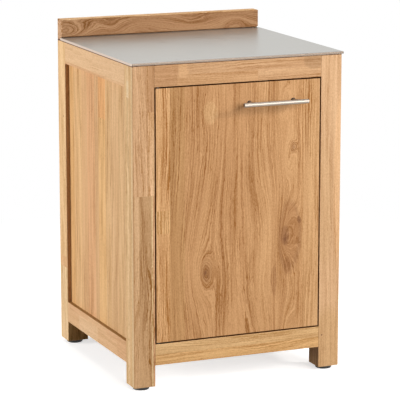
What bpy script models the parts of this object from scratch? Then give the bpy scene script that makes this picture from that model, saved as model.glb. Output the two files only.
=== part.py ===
"""Outdoor kitchen unit: a teak cabinet on levelling glides, with a door and a steel worktop.

Sizes are in metres and +Z is up. The door faces -Y and its hinges are on the -X side. The
origin lies on the ground, at the centre of the whole outline with the handle included.
"""
import math

import bmesh
import bpy
from mathutils import Vector

# Frame: four posts joined by tenoned rails.
FRAME_W = 0.600
FRAME_D = 0.580
POST = 0.060
RAIL_T = 0.036
BOTTOM_RAIL_H = 0.058
FRONT_TOP_RAIL_H = 0.059
SIDE_TOP_RAIL_H = 0.063
LEG_CLEARANCE = 0.0575
OPENING_H = 0.6885
POST_EASE = 0.0008
RAIL_EASE = 0.0008

# Joinery: tenons, and the grooves that hold the panels.
TENON_T = 0.012
MORTISE_WALL = 0.011
PLAIN_SHOULDER = 0.008
GROOVED_SHOULDER = 0.014
GROOVE_DEPTH = 0.008
PANEL_T = 0.012
PANEL_SET = 0.0115
PANEL_PLAY = 0.0005

# Floor and shelf.
CLEAT = 0.020
SLAT_T = 0.015
SLAT_COUNT = 5
SLAT_GAP = 0.005
BOARD_PLAY = 0.0012
SHELF_T = 0.018
SHELF_SETBACK = 0.045
SHELF_EASE = 0.0015
PIN_R = 0.0025
PIN_COLLAR_R = 0.0035
PIN_COLLAR_T = 0.0009
PIN_IN = 0.009
PIN_OUT = 0.010
PIN_PITCH = 0.032
PIN_HOLES = 5

# Worktop and upstand.
WORKTOP_H = 0.0065
SHEET_T = 0.0012
SHEET_FOLD_R = 0.0016
SHEET_CORNER_R = 0.0025
SIDE_OVERHANG = 0.0045
FRONT_OVERHANG = 0.004
BOARD_EASE = 0.0006
UPSTAND_T = 0.036
UPSTAND_H = 0.057
UPSTAND_EASE = 0.0012
REBATE_DEPTH = 0.008
SHADOW_GAP = 0.003
WORKTOP_JOINT = 0.003
DOWEL_R = 0.005
DOWEL_L = 0.050
DOWEL_SPACING = 0.360

# Door, its battens and its catch.
DOOR_T = 0.020
DOOR_GAP = 0.0035
DOOR_EASE = 0.0008
BATTEN_T = 0.018
BATTEN_H = 0.060
BATTEN_L = 0.380
BATTEN_INSET = 0.090
BATTEN_EASE = 0.003
CATCH_W = 0.046
CATCH_H = 0.012
CATCH_FROM_JAMB = 0.045
STRIKE_W = 0.040
STRIKE_H = 0.010
STRIKE_T = 0.0012
MAGNET_W = 0.020
MAGNET_H = 0.006

# Pivot hinges, let into the top and bottom edges of the door.
PIVOT_FROM_EDGE = 0.007
PIVOT_FROM_FRONT = 0.007
HINGE_PIN_R = 0.0025
LEAF_T = 0.0025
LEAF_R = 0.005
LEAF_L = 0.050

# Bar handle.
BAR_R = 0.006
BAR_OVERHANG = 0.030
BAR_CHAMFER = 0.0008
HANDLE_REACH = 0.032
LEG_R = 0.005
LEG_SPACING = 0.128
HANDLE_FROM_TOP = 0.054
HANDLE_FROM_EDGE = 0.0785
HANDLE_SCREW_R = 0.002
HANDLE_SCREW_IN_LEG = 0.010
SCREW_HEAD_R = 0.004
SCREW_HEAD_T = 0.0024
SCREW_CROWN = 0.0003

# Levelling glides.
GLIDE_H = 0.010
GLIDE_R = 0.0225
GLIDE_EDGE_R = 0.003
STEM_R = 0.004
STEM_L = 0.032
STEM_CHAMFER = 0.0008
INSERT_R = 0.007
INSERT_L = 0.020
INSERT_FLANGE_R = 0.009
INSERT_FLANGE_T = 0.0012

# Clearances.
FIT = 0.0003
DRILL_EXTRA = 0.001
TOLERANCE = 0.0001

# Places worked out from the sizes above.
OUTLINE_D = FRAME_D + HANDLE_REACH + BAR_R
BACK_Y = OUTLINE_D / 2
FRONT_Y = BACK_Y - FRAME_D
RAIL_BOTTOM = GLIDE_H + LEG_CLEARANCE
OPENING_BOTTOM = RAIL_BOTTOM + BOTTOM_RAIL_H
OPENING_TOP = OPENING_BOTTOM + OPENING_H
FRAME_TOP = OPENING_TOP + FRONT_TOP_RAIL_H
SIDE_RAIL_UNDERSIDE = FRAME_TOP - SIDE_TOP_RAIL_H
TENON_SET = (RAIL_T - TENON_T) / 2
TENON_L = POST - TENON_SET - TENON_T - MORTISE_WALL
PANEL_INNER = PANEL_SET + PANEL_T
OPENING_X = FRAME_W / 2 - POST
DOOR_X = OPENING_X - DOOR_GAP
DOOR_BOTTOM = OPENING_BOTTOM + DOOR_GAP
DOOR_TOP = OPENING_TOP - DOOR_GAP
PIVOT_X = -DOOR_X + PIVOT_FROM_EDGE
PIVOT_Y = FRONT_Y + PIVOT_FROM_FRONT
PIN_FROM_SIDE = (PANEL_INNER + POST) / 2
PIN_Z = (OPENING_BOTTOM + OPENING_TOP) / 2
HANDLE_Z = DOOR_TOP - HANDLE_FROM_TOP
HANDLE_X = DOOR_X - HANDLE_FROM_EDGE - LEG_SPACING / 2
BAR_Y = FRONT_Y - HANDLE_REACH
BAR_L = LEG_SPACING + 2 * BAR_OVERHANG

# Finishes: colour, roughness and metallic value.
FINISHES = {
    "teak_frame": ((0.62, 0.37, 0.19), 0.60, 0.0),
    "teak_panel": ((0.68, 0.42, 0.21), 0.60, 0.0),
    "teak_door": ((0.53, 0.29, 0.13), 0.60, 0.0),
    "teak_upstand": ((0.42, 0.23, 0.11), 0.60, 0.0),
    "brushed_steel": ((0.56, 0.54, 0.51), 0.32, 1.0),
    "zinc_steel": ((0.60, 0.60, 0.60), 0.40, 1.0),
    "black_steel": ((0.05, 0.05, 0.05), 0.45, 1.0),
    "black_laminate": ((0.03, 0.03, 0.03), 0.50, 0.0),
    "black_plastic": ((0.02, 0.02, 0.02), 0.45, 0.0),
    "black_nylon": ((0.03, 0.03, 0.03), 0.40, 0.0),
    "brass": ((0.70, 0.50, 0.22), 0.35, 1.0),
}

SIDES = (("left", -1), ("right", 1))
ENDS = (("front", -1), ("back", 1))
X_AXIS = 0
Y_AXIS = 1


def clear_scene():
    """Take every object out of the scene."""
    for obj in list(bpy.data.objects):
        bpy.data.objects.remove(obj)


def new_collection(name):
    """Add a collection to the scene."""
    made = bpy.data.collections.new(name)
    bpy.context.scene.collection.children.link(made)
    return made


clear_scene()
UNIT = new_collection("outdoor_kitchen_unit")
CUTTERS = new_collection("cutters")


def side_x(side, depth):
    """The X of a plane at a depth inwards from the frame's left (-1) or right (1) face."""
    return side * (FRAME_W / 2 - depth)


def end_y(end, depth):
    """The Y of a plane at a depth inwards from the frame's front (-1) or back (1) face."""
    if end < 0:
        return FRONT_Y + depth
    return BACK_Y - depth


def place(name, mesh, location, finish):
    """Put a mesh in the scene: a part with its own material, or a cutter when finish is None."""
    obj = bpy.data.objects.new(name, mesh)
    obj.location = location
    if finish is None:
        CUTTERS.objects.link(obj)
        obj.hide_render = True
        obj.display_type = "WIRE"
        return obj
    UNIT.objects.link(obj)
    colour, roughness, metallic = FINISHES[finish]
    material = bpy.data.materials.new(name + "_" + finish)
    material.use_nodes = True
    shader = material.node_tree.nodes["Principled BSDF"]
    shader.inputs["Base Color"].default_value = (*colour, 1.0)
    shader.inputs["Roughness"].default_value = roughness
    shader.inputs["Metallic"].default_value = metallic
    obj.data.materials.clear()
    obj.data.materials.append(material)
    return obj


def block(name, xs, ys, zs, finish=None, ease=0.0, steps=1, grain=None):
    """A board or block between two planes on each axis.

    Its edges are eased, or only those along its grain where it butts against its neighbours.
    """
    low = Vector((min(xs), min(ys), min(zs)))
    high = Vector((max(xs), max(ys), max(zs)))
    shape = bmesh.new()
    bmesh.ops.create_cube(shape, size=1.0)
    bmesh.ops.scale(shape, vec=high - low, verts=shape.verts)
    if grain is not None:
        weight = shape.edges.layers.float.new("bevel_weight_edge")
        for edge in shape.edges:
            run = edge.verts[1].co - edge.verts[0].co
            edge[weight] = 1.0 if abs(run[grain]) > TOLERANCE else 0.0
    mesh = bpy.data.meshes.new(name)
    shape.to_mesh(mesh)
    shape.free()
    obj = place(name, mesh, (low + high) / 2, finish)
    if ease > 0.0:
        bevel = obj.modifiers.new("eased_edges", "BEVEL")
        bevel.width = ease
        bevel.segments = steps
        bevel.limit_method = "NONE" if grain is None else "WEIGHT"
    return obj


def combine(target, tool, operation="DIFFERENCE"):
    """Cut a cutter out of a part, or join it on."""
    step = target.modifiers.new(operation.lower() + "_" + tool.name, "BOOLEAN")
    step.object = tool
    step.operation = operation
    step.solver = "EXACT"


def aim(obj, direction):
    """Turn a piece so that its own +Z points along a direction."""
    obj.rotation_euler = Vector((0, 0, 1)).rotation_difference(Vector(direction)).to_euler()


def rod(name, start, direction, radius, length, segments=24, finish=None):
    """A plain round bar or drill that runs a length from its start along a direction."""
    shape = bmesh.new()
    bmesh.ops.create_cone(shape, cap_ends=True, segments=segments, radius1=radius, radius2=radius,
                          depth=length)
    mesh = bpy.data.meshes.new(name)
    shape.to_mesh(mesh)
    shape.free()
    middle = Vector(start) + Vector(direction) * length / 2
    obj = place(name, mesh, middle, finish)
    aim(obj, direction)
    return obj


def turned(name, profile, location, finish, steps=24, closed=False, direction=(0, 0, 1)):
    """A piece turned about its own Z: (radius, height) points that run down its outer side."""
    mesh = bpy.data.meshes.new(name)
    count = len(profile)
    edges = [(i, i + 1) for i in range(count - 1)]
    if closed:
        edges.append((count - 1, 0))
    mesh.from_pydata([(radius, 0.0, height) for radius, height in profile], edges, [])
    obj = place(name, mesh, location, finish)
    screw = obj.modifiers.new("turning", "SCREW")
    screw.axis = "Z"
    screw.steps = steps
    screw.render_steps = steps
    screw.use_merge_vertices = True
    screw.merge_threshold = 0.00001
    screw.use_smooth_shade = True
    aim(obj, direction)
    return obj


def arc(centre_r, centre_h, radius, start, end, steps):
    """Points on a round stretch of a turned profile, between two angles in degrees."""
    points = []
    for i in range(steps + 1):
        angle = math.radians(start + (end - start) * i / steps)
        points.append((centre_r + radius * math.cos(angle), centre_h + radius * math.sin(angle)))
    return points


def slot_plate(name, z_low, z_high, radius, length, finish=None, hole_r=0.0):
    """A flat plate with round ends, whose first end is centred on the door's pivot axis."""
    outline = arc(0.0, 0.0, radius, 90.0, 270.0, 8)
    outline += arc(length - LEAF_R * 2, 0.0, radius, -90.0, 90.0, 8)
    curve = bpy.data.curves.new(name + "_outline", "CURVE")
    curve.dimensions = "2D"
    curve.fill_mode = "BOTH"
    curve.extrude = (z_high - z_low) / 2
    loops = [outline]
    if hole_r > 0.0:
        loops.append(arc(0.0, 0.0, hole_r, 0.0, 337.5, 15))
    for loop in loops:
        spline = curve.splines.new("POLY")
        spline.points.add(len(loop) - 1)
        for point, (x, y) in zip(spline.points, loop):
            point.co = (x, y, 0.0, 1.0)
        spline.use_cyclic_u = True
    guide = bpy.data.objects.new(name + "_guide", curve)
    CUTTERS.objects.link(guide)
    bpy.context.view_layer.update()
    evaluated = guide.evaluated_get(bpy.context.evaluated_depsgraph_get())
    mesh = bpy.data.meshes.new_from_object(evaluated)
    shape = bmesh.new()
    shape.from_mesh(mesh)
    bmesh.ops.remove_doubles(shape, verts=shape.verts, dist=0.00001)
    shape.to_mesh(mesh)
    shape.free()
    bpy.data.objects.remove(guide)
    return place(name, mesh, (PIVOT_X, PIVOT_Y, (z_low + z_high) / 2), finish)


def carry(parent, pieces):
    """Parent pieces to an empty that stands on their joint, without moving them."""
    for piece in pieces:
        piece.parent = parent
        piece.location = Vector(piece.location) - Vector(parent.location)


def joint_empty(name, location):
    """An empty on a joint's axis."""
    empty = bpy.data.objects.new(name, None)
    empty.location = location
    empty.empty_display_size = 0.02
    UNIT.objects.link(empty)
    return empty


def tenon_span(z_low, z_high, is_top):
    """The height that a rail's tenon keeps, with its deeper shoulder on the panel's side."""
    if is_top:
        return z_low + GROOVED_SHOULDER, z_high - PLAIN_SHOULDER
    return z_low + PLAIN_SHOULDER, z_high - GROOVED_SHOULDER


def rail_span(kind, is_top):
    """The lowest and highest Z of a front, back or side rail."""
    if not is_top:
        return RAIL_BOTTOM, OPENING_BOTTOM
    if kind == "front":
        return OPENING_TOP, FRAME_TOP
    return SIDE_RAIL_UNDERSIDE, FRAME_TOP


def make_post(name, side, end, end_name):
    """A corner post with its mortises, panel grooves, shelf pin holes and glide bore."""
    post = block(name, (side_x(side, 0), side_x(side, POST)), (end_y(end, 0), end_y(end, POST)),
                 (GLIDE_H, FRAME_TOP), "teak_frame", POST_EASE, 2)
    seat = (TENON_SET - FIT, TENON_SET + TENON_T + FIT)
    reach = (POST - TENON_L - FIT, POST + DRILL_EXTRA)
    for is_top in (False, True):
        level = "top" if is_top else "bottom"
        low, high = tenon_span(*rail_span(end_name, is_top), is_top)
        combine(post, block(f"{name}_{level}_mortise_x", [side_x(side, d) for d in reach],
                            [end_y(end, d) for d in seat], (low - FIT, high + FIT)))
        low, high = tenon_span(*rail_span("side", is_top), is_top)
        combine(post, block(f"{name}_{level}_mortise_y", [side_x(side, d) for d in seat],
                            [end_y(end, d) for d in reach], (low - FIT, high + FIT)))
    groove = (PANEL_SET - FIT, PANEL_INNER + FIT)
    groove_in = (POST - GROOVE_DEPTH, POST + DRILL_EXTRA)
    heights = (OPENING_BOTTOM - GROOVE_DEPTH, SIDE_RAIL_UNDERSIDE + GROOVE_DEPTH)
    combine(post, block(f"{name}_side_groove", [side_x(side, d) for d in groove],
                        [end_y(end, d) for d in groove_in], heights))
    if end_name == "back":
        combine(post, block(f"{name}_back_groove", [side_x(side, d) for d in groove_in],
                            [end_y(end, d) for d in groove], heights))
    for i in range(PIN_HOLES):
        height = PIN_Z + PIN_PITCH * (i - (PIN_HOLES - 1) / 2)
        start = (side_x(side, PIN_FROM_SIDE), end_y(end, POST - PIN_IN - DRILL_EXTRA), height)
        combine(post, rod(f"{name}_pin_hole_{i + 1}", start, (0, -end, 0), PIN_R + FIT,
                          PIN_IN + 2 * DRILL_EXTRA, 12))
    foot = (side_x(side, POST / 2), end_y(end, POST / 2), GLIDE_H - DRILL_EXTRA)
    up = (0, 0, 1)
    combine(post, rod(f"{name}_flange_bore", foot, up, INSERT_FLANGE_R + FIT,
                      INSERT_FLANGE_T + FIT + DRILL_EXTRA))
    combine(post, rod(f"{name}_insert_bore", foot, up, INSERT_R + FIT,
                      INSERT_L + FIT + DRILL_EXTRA))
    combine(post, rod(f"{name}_stem_bore", foot, up, STEM_R + DRILL_EXTRA,
                      STEM_L + 3 * DRILL_EXTRA, 16))
    return post


def make_rail(name, kind, side_or_end, is_top):
    """A rail with a tenon at each end, flush with the posts, and a groove for its panel."""
    low, high = rail_span(kind, is_top)
    across = (0.0, RAIL_T)
    seat = (TENON_SET, TENON_SET + TENON_T)
    groove = (PANEL_SET - FIT, PANEL_INNER + FIT)
    if kind == "side":
        ends = (end_y(-1, POST + FIT), end_y(1, POST + FIT))
        tenons = (end_y(-1, POST - TENON_L), end_y(1, POST - TENON_L))
    else:
        ends = (side_x(-1, POST + FIT), side_x(1, POST + FIT))
        tenons = (side_x(-1, POST - TENON_L), side_x(1, POST - TENON_L))

    def piece(suffix, along, depths, heights, finish=None, ease=0.0, steps=1):
        if kind == "side":
            planes = [side_x(side_or_end, d) for d in depths]
            return block(name + suffix, planes, along, heights, finish, ease, steps, Y_AXIS)
        planes = [end_y(side_or_end, d) for d in depths]
        return block(name + suffix, along, planes, heights, finish, ease, steps, X_AXIS)

    rail = piece("", ends, across, (low, high), "teak_frame", RAIL_EASE, 2)
    combine(rail, piece("_tenons", tenons, seat, tenon_span(low, high, is_top)), "UNION")
    if kind != "front":
        if is_top:
            heights = (low - DRILL_EXTRA, low + GROOVE_DEPTH)
        else:
            heights = (high - GROOVE_DEPTH, high + DRILL_EXTRA)
        combine(rail, piece("_groove", tenons, groove, heights))
    return rail


def make_panels():
    """The recessed side and back panels, loose in their grooves."""
    tongue = POST - GROOVE_DEPTH + PANEL_PLAY
    heights = (OPENING_BOTTOM - GROOVE_DEPTH + PANEL_PLAY,
               SIDE_RAIL_UNDERSIDE + GROOVE_DEPTH - PANEL_PLAY)
    for side_name, side in SIDES:
        block("panel_" + side_name, (side_x(side, PANEL_SET), side_x(side, PANEL_INNER)),
              (end_y(-1, tongue), end_y(1, tongue)), heights, "teak_panel")
    block("panel_back", (side_x(-1, tongue), side_x(1, tongue)),
          (end_y(1, PANEL_SET), end_y(1, PANEL_INNER)), heights, "teak_panel")


def post_clearances():
    """Cutters round the posts, for the boards that are notched to pass them."""
    room = POST + BOARD_PLAY
    cutters = []
    for side_name, side in SIDES:
        for end_name, end in ENDS:
            cutters.append(block(f"notch_{end_name}_{side_name}",
                                 (side_x(side, -DRILL_EXTRA), side_x(side, room)),
                                 (end_y(end, -DRILL_EXTRA), end_y(end, room)),
                                 (GLIDE_H, FRAME_TOP)))
    return cutters


def make_floor(notches):
    """Two cleats on the bottom rails and the floor slats that lie across them."""
    under_slats = OPENING_BOTTOM - SLAT_T
    for side_name, side in SIDES:
        block("floor_cleat_" + side_name,
              (side_x(side, RAIL_T + FIT), side_x(side, RAIL_T + FIT + CLEAT)),
              (end_y(-1, POST + FIT), end_y(1, POST + FIT)),
              (under_slats - FIT - CLEAT, under_slats - FIT), "teak_frame", RAIL_EASE)
    front = end_y(-1, RAIL_T + BOARD_PLAY)
    back = end_y(1, RAIL_T + BOARD_PLAY)
    width = (back - front - SLAT_GAP * (SLAT_COUNT - 1)) / SLAT_COUNT
    for i in range(SLAT_COUNT):
        start = front + i * (width + SLAT_GAP)
        slat = block(f"floor_slat_{i + 1}", (side_x(-1, RAIL_T + BOARD_PLAY),
                                            side_x(1, RAIL_T + BOARD_PLAY)),
                     (start, start + width), (under_slats, OPENING_BOTTOM), "teak_panel",
                     RAIL_EASE)
        if i in (0, SLAT_COUNT - 1):
            for notch in notches:
                if (notch.location.y < 0) == (i == 0):
                    combine(slat, notch)


def make_shelf(notches):
    """A notched shelf board and the four pins that it rests on."""
    underside = PIN_Z + PIN_R + FIT
    shelf = block("shelf_board", (side_x(-1, PANEL_INNER + BOARD_PLAY),
                                  side_x(1, PANEL_INNER + BOARD_PLAY)),
                  (end_y(-1, SHELF_SETBACK), end_y(1, PANEL_INNER + BOARD_PLAY)),
                  (underside, underside + SHELF_T), "teak_panel", SHELF_EASE, 2)
    for notch in notches:
        combine(shelf, notch)
    collar = PIN_COLLAR_T
    profile = [(0.0, PIN_OUT), (PIN_R - FIT, PIN_OUT), (PIN_R, PIN_OUT - FIT), (PIN_R, collar),
               (PIN_COLLAR_R, collar), (PIN_COLLAR_R, FIT), (PIN_R, FIT), (PIN_R, -PIN_IN),
               (0.0, -PIN_IN)]
    for side_name, side in SIDES:
        for end_name, end in ENDS:
            turned(f"shelf_pin_{end_name}_{side_name}", profile,
                   (side_x(side, PIN_FROM_SIDE), end_y(end, POST), PIN_Z), "zinc_steel", 12,
                   direction=(0, -end, 0))


def make_worktop():
    """The folded steel sheet over its board, and the cleats that carry the board."""
    for side_name, side in SIDES:
        block("worktop_cleat_" + side_name,
              (side_x(side, RAIL_T + FIT), side_x(side, RAIL_T + FIT + CLEAT)),
              (end_y(-1, POST + FIT), end_y(1, POST + FIT)), (FRAME_TOP - CLEAT, FRAME_TOP),
              "teak_frame", RAIL_EASE)
    xs = (side_x(-1, -SIDE_OVERHANG), side_x(1, -SIDE_OVERHANG))
    ys = (end_y(-1, -FRONT_OVERHANG), end_y(1, UPSTAND_T - REBATE_DEPTH + WORKTOP_JOINT))
    inset = SHEET_T + FIT
    block("worktop_board", (xs[0] + inset, xs[1] - inset), (ys[0] + inset, ys[1] - inset),
          (FRAME_TOP + FIT, FRAME_TOP + WORKTOP_H - SHEET_T - FIT), "black_laminate",
          BOARD_EASE)
    shape = bmesh.new()
    bmesh.ops.create_cube(shape, size=1.0)
    low = Vector((xs[0], ys[0], FRAME_TOP + FIT))
    high = Vector((xs[1], ys[1], FRAME_TOP + WORKTOP_H))
    bmesh.ops.scale(shape, vec=high - low, verts=shape.verts)
    under = [face for face in shape.faces if face.normal.z < -0.5]
    bmesh.ops.delete(shape, geom=under, context="FACES_ONLY")
    corners = [edge for edge in shape.edges
               if abs(edge.verts[0].co.z - edge.verts[1].co.z) > TOLERANCE]
    bmesh.ops.bevel(shape, geom=corners, offset=SHEET_CORNER_R, segments=4, profile=0.5,
                    affect="EDGES")
    top = max(vert.co.z for vert in shape.verts)
    folds = [edge for edge in shape.edges
             if all(top - vert.co.z < TOLERANCE for vert in edge.verts)
             and len(edge.link_faces) == 2]
    bmesh.ops.bevel(shape, geom=folds, offset=SHEET_FOLD_R, segments=3, profile=0.5,
                    affect="EDGES")
    mesh = bpy.data.meshes.new("worktop_sheet")
    shape.to_mesh(mesh)
    shape.free()
    sheet = place("worktop_sheet", mesh, (low + high) / 2, "brushed_steel")
    wall = sheet.modifiers.new("sheet_thickness", "SOLIDIFY")
    wall.thickness = SHEET_T
    wall.offset = -1.0
    wall.use_even_offset = True


def make_upstand(back_rail):
    """The upstand along the back edge, dowelled to the back rail.

    A rebate along its foot takes in the worktop's back edge and leaves a shadow gap above it.
    """
    upstand = block("upstand", (side_x(-1, 0), side_x(1, 0)), (end_y(1, 0), end_y(1, UPSTAND_T)),
                    (FRAME_TOP + FIT, FRAME_TOP + UPSTAND_H), "teak_upstand", UPSTAND_EASE, 2)
    rebate = block("upstand_rebate", (side_x(-1, -DRILL_EXTRA), side_x(1, -DRILL_EXTRA)),
                   (end_y(1, UPSTAND_T + DRILL_EXTRA), end_y(1, UPSTAND_T - REBATE_DEPTH)),
                   (FRAME_TOP - DRILL_EXTRA, FRAME_TOP + WORKTOP_H + SHADOW_GAP))
    combine(upstand, rebate)
    middle = end_y(1, min(RAIL_T, UPSTAND_T) / 2)
    for side_name, side in SIDES:
        spot = (side * DOWEL_SPACING / 2, middle, FRAME_TOP - DOWEL_L / 2)
        hole = rod("dowel_hole_" + side_name, Vector(spot) - Vector((0, 0, DRILL_EXTRA)),
                   (0, 0, 1), DOWEL_R + FIT, DOWEL_L + 2 * DRILL_EXTRA, 16)
        combine(upstand, hole)
        combine(back_rail, hole)
        rod("upstand_dowel_" + side_name, spot, (0, 0, 1), DOWEL_R, DOWEL_L, 16, "teak_frame")


def make_door():
    """The door leaf with two battens across its staves."""
    door = block("door_panel", (-DOOR_X, DOOR_X), (FRONT_Y, FRONT_Y + DOOR_T),
                 (DOOR_BOTTOM, DOOR_TOP), "teak_door", DOOR_EASE, 3)
    inside = FRONT_Y + DOOR_T + FIT
    battens = []
    for name, low in (("upper", DOOR_TOP - BATTEN_INSET - BATTEN_H),
                      ("lower", DOOR_BOTTOM + BATTEN_INSET)):
        battens.append(block("door_batten_" + name, (-BATTEN_L / 2, BATTEN_L / 2),
                             (inside, inside + BATTEN_T), (low, low + BATTEN_H), "teak_door",
                             BATTEN_EASE))
    return door, battens


def make_handle(door):
    """A round bar on two legs, held by screws from inside the door."""
    bar = turned("handle_bar", [(0.0, BAR_L / 2), (BAR_R - BAR_CHAMFER, BAR_L / 2),
                                (BAR_R, BAR_L / 2 - BAR_CHAMFER), (BAR_R, -BAR_L / 2 + BAR_CHAMFER),
                                (BAR_R - BAR_CHAMFER, -BAR_L / 2), (0.0, -BAR_L / 2)],
                 (HANDLE_X, BAR_Y, HANDLE_Z), "brushed_steel", 28, direction=(1, 0, 0))
    saddle = rod("bar_saddle", (HANDLE_X - BAR_L / 2, BAR_Y, HANDLE_Z), (1, 0, 0), BAR_R + FIT,
                 BAR_L, 28)
    inside = FRONT_Y + DOOR_T + FIT
    screw_tip = DOOR_T + 2 * FIT + HANDLE_SCREW_IN_LEG
    profile = [(0.0, SCREW_HEAD_T), (SCREW_HEAD_R / 2, SCREW_HEAD_T - SCREW_CROWN),
               (SCREW_HEAD_R, SCREW_HEAD_T / 2), (SCREW_HEAD_R, 0.0), (HANDLE_SCREW_R, 0.0),
               (HANDLE_SCREW_R, -screw_tip), (0.0, -screw_tip)]
    pieces = [bar]
    for side_name, side in SIDES:
        x = HANDLE_X + side * LEG_SPACING / 2
        leg = rod("handle_leg_" + side_name, (x, FRONT_Y - FIT, HANDLE_Z), (0, -1, 0), LEG_R,
                  HANDLE_REACH - FIT, 20, "brushed_steel")
        combine(leg, saddle)
        bore = rod("leg_thread_" + side_name, (x, FRONT_Y + DRILL_EXTRA, HANDLE_Z), (0, -1, 0),
                   HANDLE_SCREW_R + FIT, DRILL_EXTRA + HANDLE_SCREW_IN_LEG + 2 * FIT, 12)
        combine(leg, bore)
        hole = rod("screw_hole_" + side_name, (x, FRONT_Y - DRILL_EXTRA, HANDLE_Z), (0, 1, 0),
                   HANDLE_SCREW_R + FIT, DOOR_T + 2 * DRILL_EXTRA, 12)
        combine(door, hole)
        screw = turned("handle_screw_" + side_name, profile, (x, inside, HANDLE_Z), "zinc_steel",
                       12, direction=(0, 1, 0))
        pieces += [leg, screw]
    return pieces


def make_hinge(level, up, rail, door):
    """A pivot hinge: a leaf with its pin in the rail, a leaf in the door, a washer between."""
    face = OPENING_TOP if up > 0 else OPENING_BOTTOM
    edge = face - up * DOOR_GAP

    def plate(suffix, start, end, radius, finish=None, hole_r=0.0):
        return slot_plate("hinge_" + level + suffix, min(start, end), max(start, end), radius,
                          LEAF_L, finish, hole_r)

    frame_leaf = plate("_frame_leaf", face, face + up * LEAF_T, LEAF_R, "black_steel")
    pin_end = edge - up * (LEAF_T - FIT)
    pin = rod("hinge_" + level + "_pin", (PIVOT_X, PIVOT_Y, face + up * LEAF_T / 2), (0, 0, -up),
              HINGE_PIN_R, abs(face + up * LEAF_T / 2 - pin_end), 16)
    combine(frame_leaf, pin, "UNION")
    combine(rail, plate("_frame_pocket", face - up * DRILL_EXTRA, face + up * (LEAF_T + FIT),
                        LEAF_R + FIT))
    door_leaf = plate("_door_leaf", edge, edge - up * LEAF_T, LEAF_R, "black_steel",
                      HINGE_PIN_R + FIT)
    combine(door, plate("_door_pocket", edge + up * DRILL_EXTRA, edge - up * (LEAF_T + FIT),
                        LEAF_R + FIT))
    half = DOOR_GAP / 2 - FIT
    turned("hinge_" + level + "_washer",
           [(LEAF_R, half), (LEAF_R, -half), (HINGE_PIN_R + FIT, -half),
            (HINGE_PIN_R + FIT, half)],
           (PIVOT_X, PIVOT_Y, (face + edge) / 2), "black_nylon", 16, closed=True)
    return door_leaf


def make_catch():
    """A magnetic catch under the top rail and the strike plate that it holds."""
    middle = OPENING_X - CATCH_FROM_JAMB
    strike_front = FRONT_Y + DOOR_T + FIT
    catch_front = strike_front + STRIKE_T + FIT
    catch = block("catch_body", (middle - CATCH_W / 2, middle + CATCH_W / 2),
                  (catch_front, end_y(-1, RAIL_T)), (OPENING_TOP - FIT - CATCH_H, OPENING_TOP - FIT),
                  "black_plastic", RAIL_EASE / 2)
    magnet_z = OPENING_TOP - FIT - CATCH_H / 2
    pocket = block("catch_magnet_pocket", (middle - MAGNET_W / 2, middle + MAGNET_W / 2),
                   (catch_front - DRILL_EXTRA, catch_front + DRILL_EXTRA),
                   (magnet_z - MAGNET_H / 2, magnet_z + MAGNET_H / 2))
    combine(catch, pocket)
    top = DOOR_TOP - DOOR_EASE
    return block("catch_strike", (middle - STRIKE_W / 2, middle + STRIKE_W / 2),
                 (strike_front, strike_front + STRIKE_T), (top - STRIKE_H, top), "zinc_steel")


def make_glides():
    """A levelling glide and its threaded insert under each post."""
    pad_top = GLIDE_H - FIT
    stem_top = GLIDE_H + STEM_L
    glide = [(0.0, stem_top), (STEM_R - STEM_CHAMFER, stem_top),
             (STEM_R, stem_top - STEM_CHAMFER), (STEM_R, pad_top),
             (GLIDE_R - FIT * 2, pad_top), (GLIDE_R, pad_top - FIT * 2)]
    glide += arc(GLIDE_R - GLIDE_EDGE_R, GLIDE_EDGE_R, GLIDE_EDGE_R, 0.0, -90.0, 4)
    glide.append((0.0, 0.0))
    insert = [(INSERT_R, INSERT_L), (INSERT_R, INSERT_FLANGE_T),
              (INSERT_FLANGE_R, INSERT_FLANGE_T), (INSERT_FLANGE_R, 0.0),
              (STEM_R + FIT, 0.0), (STEM_R + FIT, INSERT_L)]
    for end_name, end in ENDS:
        for side_name, side in SIDES:
            corner = f"{end_name}_{side_name}"
            spot = (side_x(side, POST / 2), end_y(end, POST / 2))
            pad = turned("glide_" + corner, glide, (*spot, 0.0), "black_plastic", 28)
            carry(joint_empty("glide_axis_" + corner, (*spot, 0.0)), [pad])
            turned("glide_insert_" + corner, insert, (*spot, GLIDE_H), "brass", 20, closed=True)


def build():
    """Make the whole unit."""
    for end_name, end in ENDS:
        for side_name, side in SIDES:
            make_post(f"post_{end_name}_{side_name}", side, end, end_name)
    rails = {}
    for is_top in (True, False):
        level = "top" if is_top else "bottom"
        for end_name, end in ENDS:
            rails[end_name, level] = make_rail(f"rail_{end_name}_{level}", end_name, end, is_top)
        for side_name, side in SIDES:
            make_rail(f"rail_{side_name}_{level}", "side", side, is_top)
    make_panels()
    notches = post_clearances()
    make_floor(notches)
    make_shelf(notches)
    make_worktop()
    make_upstand(rails["back", "top"])
    door, battens = make_door()
    moving = [door, *battens, *make_handle(door), make_catch()]
    moving.append(make_hinge("upper", 1, rails["front", "top"], door))
    moving.append(make_hinge("lower", -1, rails["front", "bottom"], door))
    carry(joint_empty("door_axis", (PIVOT_X, PIVOT_Y, 0.0)), moving)
    make_glides()


build()
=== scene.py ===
import math

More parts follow.
